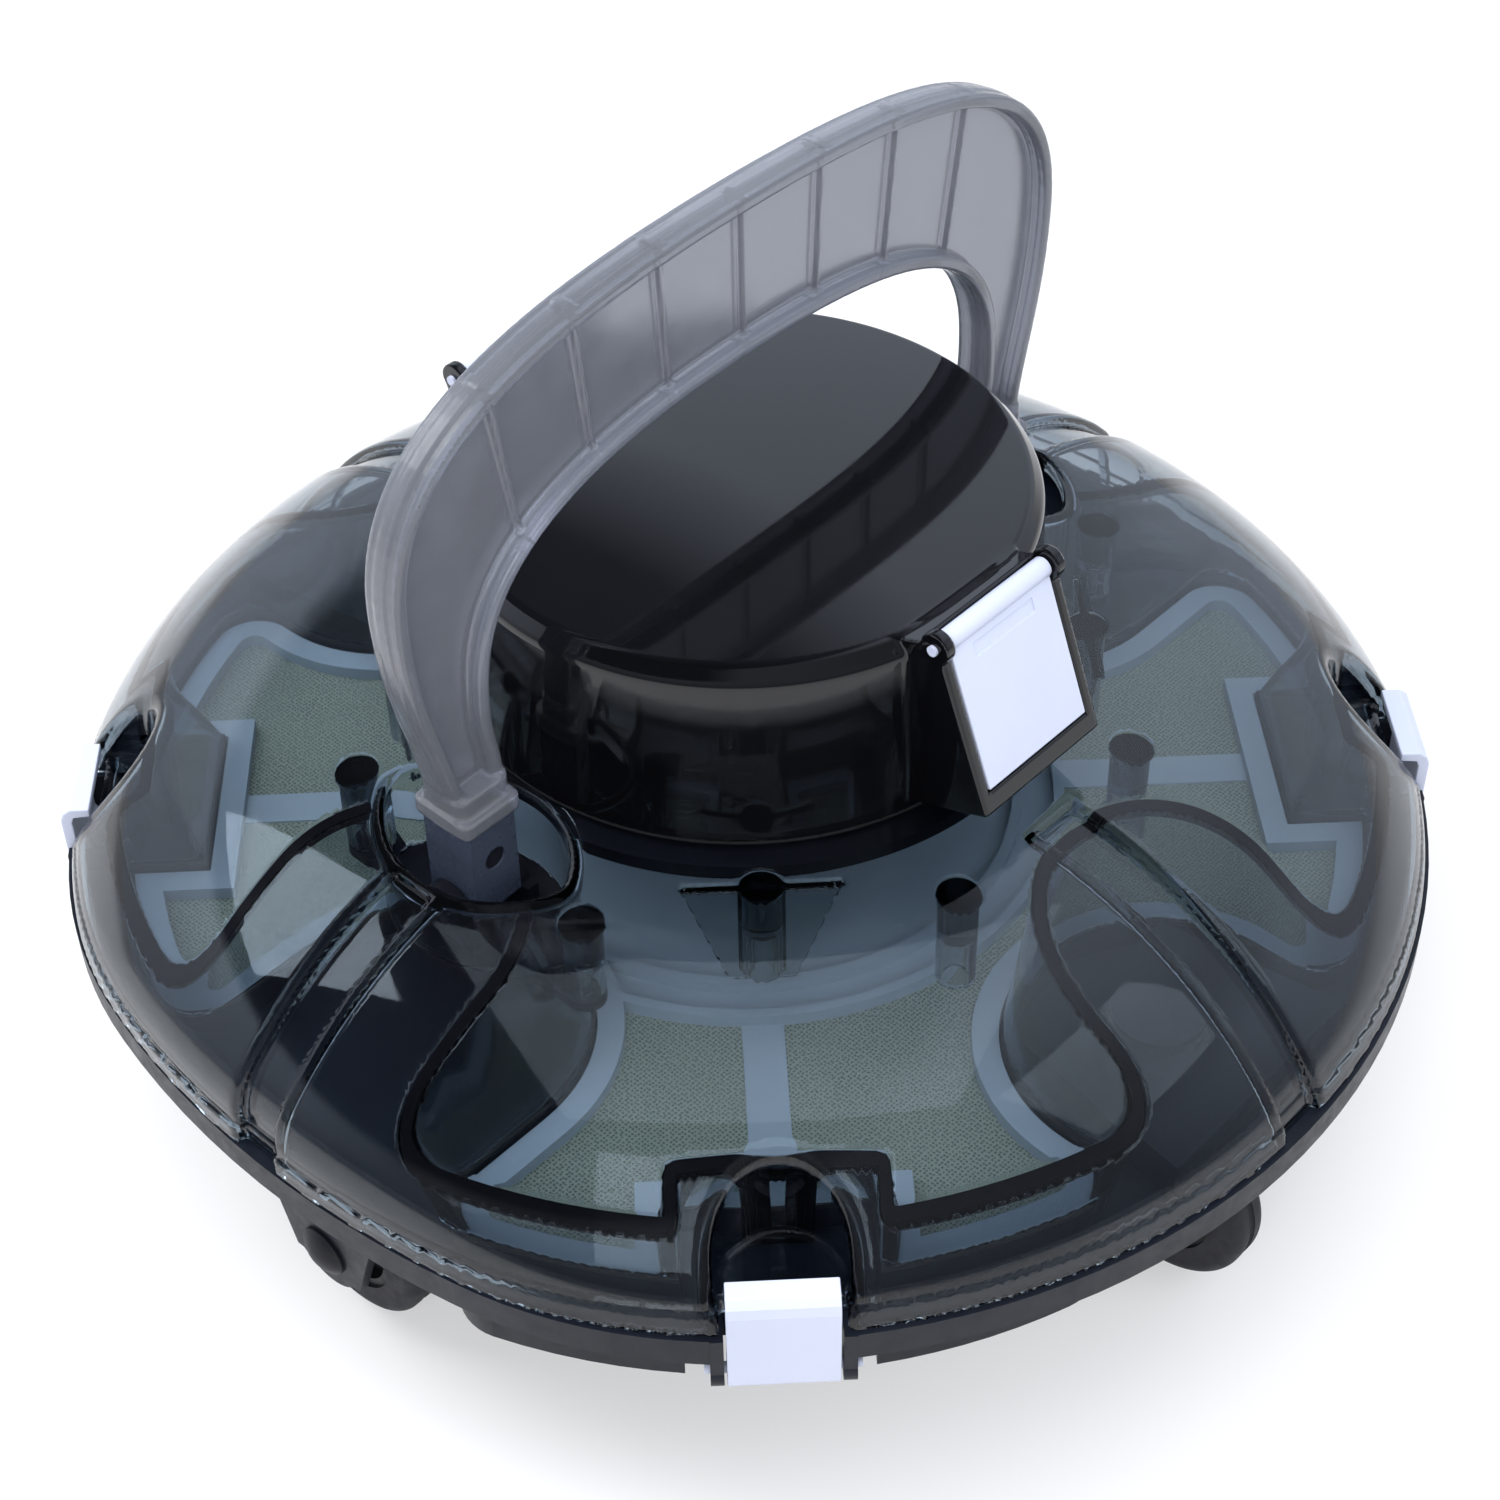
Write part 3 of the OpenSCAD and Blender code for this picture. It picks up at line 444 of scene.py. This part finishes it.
def dome_field(x, y, z):
    """Dome shell with its seal rib, its hollow posts and a gusset on each post behind a latch."""
    ax, ay = np.abs(x), np.abs(y)
    r = np.hypot(x, y)
    skin = dome_skin(x, y, z)
    hollow = np.minimum(skin + WALL, np.maximum(well2(x, y, 3.5), z - 112))
    shell = smax(np.maximum(smax(skin, -hollow, 0.6), SEAM - z), 80 - r, 1)
    rib = np.maximum(np.abs(rib_middle(x, y, z)) - 1.2, 85.6 - z)
    rib = np.maximum(rib, np.minimum(z - 108, 5 - well2(x, y)))
    along, across = (ax + ay) / math.sqrt(2), np.abs(ax - ay) / math.sqrt(2)
    by_socket = np.hypot(ax - SOCKET_POST[0], ay - SOCKET_POST[1])
    by_side = np.hypot(ax - SIDE_POST[0], ay - SIDE_POST[1])
    by_latch = np.hypot(along - STAY_POST_R, across)
    post = np.maximum(by_socket - POST_R, 112 - z)
    post = np.minimum(post, np.maximum(by_side - POST_R, 106 - z))
    post = np.minimum(post, np.maximum(by_latch - POST_R, 106 - z))
    hole = np.minimum(by_socket, np.minimum(by_side, by_latch)) - POST_HOLE_R
    post = smax(post, -np.maximum(hole, z - 122), 0.5)
    taper = across - 9 - (z - 103) * 0.36
    gusset = np.maximum(np.abs(along - STAY_POST_R) - 0.8, np.maximum(taper, 103 - z))
    inside = np.maximum(skin + 1.6, 81 - r)
    extra = np.maximum(np.minimum(np.minimum(rib, post), gusset), inside)
    return smin(shell, extra, 1.0)


# ---------------------------------------------------------------- motor cap

TILT = math.radians(21)
HINGE_X, HINGE_Z = 87.5, 200.5
FRAME_HALF, BLOCK_BACK, FLAP_HALF, FLAP_LENGTH = 24, 52, 20.5, 44.6
JET_DROP, DUCT_R, SHAFT_HOLE_R = 23, 18.3, 6
CAP_FOOT_Z, CAP_FOOT_R, CAP_WALL_H, CAP_DRAFT = 141, 84.4, 52.4, 2
CAP_EDGE_Z, CAP_EDGE_R = 193.4, 82.4
CROWN_Z, CROWN_R, CROWN_DROP = 201.4, 79, 3.4
INTAKE_X, INTAKE_R, INTAKE_TOP = 62, 13, 166
# Bores of the button and the charging socket: turn about Z, height, radius.
BUTTON_BORE, CHARGE_BORE = (125, 168, 7.3), (150, 162, 8)


def nozzle_axes(x, z):
    """Position along the jet and up the flap, from the flap's hinge."""
    dx, dz = np.abs(x) - HINGE_X, z - HINGE_Z
    return dx * math.cos(TILT) + dz * math.sin(TILT), dz * math.cos(TILT) - dx * math.sin(TILT)


def cap_field(x, y, z):
    """Motor cap: a drafted shell with a crowned top and a nozzle box with its duct at both ends."""
    r = np.hypot(x, y)
    wall = r - CAP_FOOT_R + (z - CAP_FOOT_Z) * CAP_DRAFT / CAP_WALL_H
    slope = 0.771 * (r - CAP_EDGE_R) + 0.637 * (z - CAP_EDGE_Z)
    crown = z - CROWN_Z + CROWN_DROP * (r / CROWN_R) ** 2
    form = smax(smax(wall, slope, 1.0), crown, 0.9)
    shell = np.maximum(form, -(form + 2.5))
    u, w = nozzle_axes(x, z)
    ay = np.abs(y)
    block = smax(-BLOCK_BACK - u, smax(-50.5 - w, w - 1.5, 1), 1)
    block = smax(smax(ay - FRAME_HALF, u - 1.5, 1.2), block, 1)
    ear = smax(np.hypot(u, w) - 4.6, np.abs(ay - 22.25) - 1.75, 0.6)
    f = smin(shell, smin(block, ear, 0.8), 1.6)
    recess = np.maximum(np.maximum(ay - FLAP_HALF, -1.8 - u), -FLAP_LENGTH - w)
    recess = np.minimum(recess, np.maximum(np.maximum(ay - FLAP_HALF, -4.6 - u), -4.6 - w))
    duct = np.maximum(np.hypot(y, w + JET_DROP) - DUCT_R, -46 - u)
    shaft = np.hypot(y, w + JET_DROP) - SHAFT_HOLE_R
    f = smax(f, -np.minimum(recess, np.minimum(duct, np.maximum(shaft, u + 40))), 0.8)
    f = np.maximum(f, -np.maximum(np.hypot(np.abs(x) - INTAKE_X, y) - INTAKE_R, z - INTAKE_TOP))
    for turn, height, radius in (BUTTON_BORE, CHARGE_BORE):
        c, s = math.cos(math.radians(turn)), math.sin(math.radians(turn))
        bore = np.maximum(np.hypot(-x * s + y * c, z - height) - radius, 70 - (x * c + y * s))
        f = smax(f, -bore, 0.8)
    return np.maximum(f, CAP_FOOT_Z - z)


# ---------------------------------------------------------------- handle

def bezier(a, b, c, d, n):
    t = np.linspace(0, 1, n)[:, None]
    a, b, c, d = (np.array(p, float) for p in (a, b, c, d))
    return (1 - t) ** 3 * a + 3 * (1 - t) ** 2 * t * b + 3 * (1 - t) * t * t * c + t ** 3 * d


def polyline_distance(u, v, pts):
    best = np.full(u.shape, 1e9)
    for (ax, ay), (bx, by) in zip(pts[:-1], pts[1:]):
        ex, ey = bx - ax, by - ay
        t = np.clip(((u - ax) * ex + (v - ay) * ey) / (ex * ex + ey * ey), 0, 1)
        best = np.minimum(best, (u - ax - t * ex) ** 2 + (v - ay - t * ey) ** 2)
    return np.sqrt(best)


def inside_polygon(u, v, pts):
    odd = np.zeros(u.shape, bool)
    for (ax, ay), (bx, by) in zip(pts, np.roll(pts, -1, axis=0)):
        if ay == by:
            continue
        odd ^= ((ay > v) != (by > v)) & (u < (bx - ax) * (v - ay) / (by - ay) + ax)
    return odd


OUTER = np.vstack([bezier((0, 287), (78, 287), (127, 275), (127, 226), 28)[:-1],
                   bezier((127, 226), (127, 195), (118, 178), (116, 158), 16), [(116, 150)]])
INNER = np.vstack([bezier((0, 240.5), (62, 240.5), (98, 228), (100, 190), 26)[:-1],
                   bezier((100, 190), (101, 172), (98, 172), (98, 158), 14), [(98, 150)]])
ARCH = np.vstack([OUTER, INNER[::-1]])
PLATE_HALF, FLANGE_HALF, FLANGE_WALL = 1.5, 6, 4
RIB_GAP, RIB_SPREAD, RIB_HALF = 26, 4.5, 0.8
FOOT_Y, FOOT_TOP, HANDLE_TOP = 107, 150, 286.9


def handle_field(x, y, z):
    """Arch with a thin plate, a flange along both edges, cross ribs and a cuff on each foot."""
    ay, ax = np.abs(y), np.abs(x)
    d = np.minimum(polyline_distance(ay, z, OUTER), polyline_distance(ay, z, INNER))
    d = np.where(inside_polygon(ay, z, ARCH), -d, d)
    lean = (z - 200) / 87
    ribs = np.full(x.shape, 1e9)
    for k in range(-3, 4):
        ribs = np.minimum(ribs, np.abs(y - k * (RIB_GAP + RIB_SPREAD * np.clip(lean, 0, 1))) - RIB_HALF)
    f = smax(d, ax - PLATE_HALF, 0.6)
    flange = smax(np.maximum(d, -(d + FLANGE_WALL)), ax - FLANGE_HALF, 1.6)
    f = smin(f, flange, 1.5)
    f = smin(f, smax(np.maximum(d, ribs), ax - 3.0, 0.6), 1.2)
    cuff = smax(box2(x, ay - FOOT_Y, 10.5, 10, 2.5), np.abs(z - 152.5) - 2.5, 0.8)
    neck = smax(box2(x, ay - FOOT_Y, 8, 9, 3), np.abs(z - 156) - 5, 1)
    f = smin(f, smin(cuff, neck, 1.5), 1.5)
    return np.maximum(np.maximum(f, FOOT_TOP - z), z - HANDLE_TOP)


# ---------------------------------------------------------------- pieces

DOME_STEP, FINE_STEP = 1.5, 0.9

dome = field_mesh("dome", dome_field, (-200, -192, 80), (200, 192, 141), DOME_STEP)
add_piece(dome, "cover", "smoky_clear", "dome_cover")

# Near-black strip along the rib's root: painted shade for the dark line there.
add_piece(sweep_shade_line(), "cover", "painted_shade_black", slot="black_rubber")

cap = field_mesh("cap", cap_field, (-108, -86, 139), (108, 86, 206), FINE_STEP)
add_piece(cap, "cover", "gloss_black", "motor_cap")

handle = field_mesh("handle", handle_field, (-11, -128, 149), (11, 128, 288), FINE_STEP)
add_piece(handle, "handle", "smoky_handle", "handle_arch")


def finish_edges(obj, width):
    """Rounds the sharp edges of a plain CAD piece."""
    weld = obj.modifiers.new("weld", "WELD")
    weld.merge_threshold = 0.00001
    flat = obj.modifiers.new("flat", "DECIMATE")
    flat.decimate_type = "DISSOLVE"
    flat.angle_limit = math.radians(1)
    edge = obj.modifiers.new("edge", "BEVEL")
    edge.width = width * MM
    edge.segments = 2
    edge.limit_method = "ANGLE"
    edge.angle_limit = math.radians(35)
    edge.use_clamp_overlap = True
    edge.harden_normals = False


for name in ("flap_px", "flap_nx", "latch_front", "latch_right", "latch_back", "latch_left"):
    finish_edges(nodes[name], 0.5)
for name in ("wheel_brackets", "handle_feet"):
    finish_edges(nodes[name], 0.4)


# ---------------------------------------------------------------- stage

def add_floor():
    bm = bmesh.new()
    bmesh.ops.create_grid(bm, x_segments=2, y_segments=2, size=6.0)
    me = bpy.data.meshes.new("floor")
    bm.to_mesh(me)
    bm.free()
    o = bpy.data.objects.new("floor", me)
    bpy.context.scene.collection.objects.link(o)
    m, t, b, out = new_material("floor_paint")
    vec = coords(t)
    paint = ramp(t, noise(t, vec, 3, 3), [(0.3, (0.49, 0.48, 0.47)), (0.7, (0.51, 0.5, 0.49))])
    t.links.new(paint, b.inputs["Base Color"])
    b.inputs["Roughness"].default_value = 0.8
    b.inputs["Emission Color"].default_value = (1, 1, 1, 1)
    b.inputs["Emission Strength"].default_value = 0.42
    me.materials.append(m)


LAMP_TARGET, LAMP_TINT = (0, 0, 0.1), (0.97, 0.99, 1.03)


def add_light(name, pos, size, power):
    """Square lamp aimed at the object. It lights surfaces but isn't mirrored in them."""
    d = bpy.data.lights.new(name, "AREA")
    d.shape = "RECTANGLE"
    d.size, d.size_y = size, size
    d.energy = power
    d.color = LAMP_TINT
    o = bpy.data.objects.new(name, d)
    bpy.context.scene.collection.objects.link(o)
    o.location = pos
    o.rotation_mode = "QUATERNION"
    o.rotation_quaternion = (Vector(LAMP_TARGET) - Vector(pos)).to_track_quat("-Z", "Y")
    o.visible_glossy = False


AZIMUTH, ELEVATION, ROLL = 43.19, 43.05, -1.177
AIM_HEIGHT, DISTANCE, FOCAL_LENGTH = 0.0933, 0.8355, 67.79


def add_camera():
    """Camera fitted to the photograph: azimuth from -Y towards +X, elevation, then roll."""
    cam = bpy.data.cameras.new("camera")
    o = bpy.data.objects.new("camera", cam)
    bpy.context.scene.collection.objects.link(o)
    az, el, roll = math.radians(AZIMUTH), math.radians(ELEVATION), math.radians(ROLL)
    back = Vector((math.sin(az) * math.cos(el), -math.cos(az) * math.cos(el), math.sin(el)))
    right = Vector((math.cos(az), math.sin(az), 0))
    up = back.cross(right)
    r = math.cos(roll) * right + math.sin(roll) * up
    u = -math.sin(roll) * right + math.cos(roll) * up
    where = Vector((0, 0, AIM_HEIGHT)) + back * DISTANCE
    o.matrix_world = Matrix((
        (r.x, u.x, back.x, where.x), (r.y, u.y, back.y, where.y), (r.z, u.z, back.z, where.z), (0, 0, 0, 1)))
    cam.sensor_width = 36
    cam.lens = FOCAL_LENGTH
    cam.shift_x, cam.shift_y = 3.5 / 1500, 6 / 1500
    cam.clip_start, cam.clip_end = 0.01, 100
    bpy.context.scene.camera = o


def add_world():
    """Bright walls behind the object, a dim ceiling, and a darker room behind the camera."""
    w = bpy.data.worlds.new("studio")
    bpy.context.scene.world = w
    w.use_nodes = True
    t = w.node_tree
    bg = t.nodes["Background"]
    tc = t.nodes.new("ShaderNodeTexCoord")
    axes = t.nodes.new("ShaderNodeSeparateXYZ")
    t.links.new(tc.outputs["Generated"], axes.inputs["Vector"])
    left = t.nodes.new("ShaderNodeVectorMath")
    left.operation = "DOT_PRODUCT"
    left.inputs[1].default_value = (-0.729, -0.684, 0)
    t.links.new(tc.outputs["Generated"], left.inputs[0])
    tilt = t.nodes.new("ShaderNodeMath")
    tilt.operation = "MULTIPLY"
    t.links.new(left.outputs["Value"], tilt.inputs[0])
    t.links.new(rng(t, axes.outputs["Z"], 0.0, 0.8, 0.35, 0.6), tilt.inputs[1])
    height = t.nodes.new("ShaderNodeMath")
    t.links.new(axes.outputs["Z"], height.inputs[0])
    t.links.new(tilt.outputs[0], height.inputs[1])
    wall, ceiling = (0.76, 0.85, 1), (0.1, 0.115, 0.15)
    sky = ramp(t, height.outputs[0], [(0.0, (0.5, 0.55, 0.65)), (0.4, wall), (0.62, wall),
                                      (0.76, ceiling), (1.0, (0.05, 0.055, 0.07))])
    t.links.new(sky, bg.inputs["Color"])
    side = t.nodes.new("ShaderNodeVectorMath")
    side.operation = "DOT_PRODUCT"
    side.inputs[1].default_value = (0.684, -0.729, 0)
    t.links.new(tc.outputs["Generated"], side.inputs[0])
    t.links.new(rng(t, side.outputs["Value"], 1.3, 0.4, -0.1, 0.5), bg.inputs["Strength"])


add_floor()
add_world()
add_light("key", (-1.2, -0.6, 1.3), 0.8, 26)
add_light("side", (1.3, 0.5, 1.2), 0.8, 7)
add_light("top", (0.1, -0.1, 1.8), 1.6, 25)
add_light("fill", (0.9, -1.2, 1.1), 1.0, 17)
add_camera()

bpy.context.scene.view_settings.view_transform = "Standard"

bpy.context.view_layer.update()
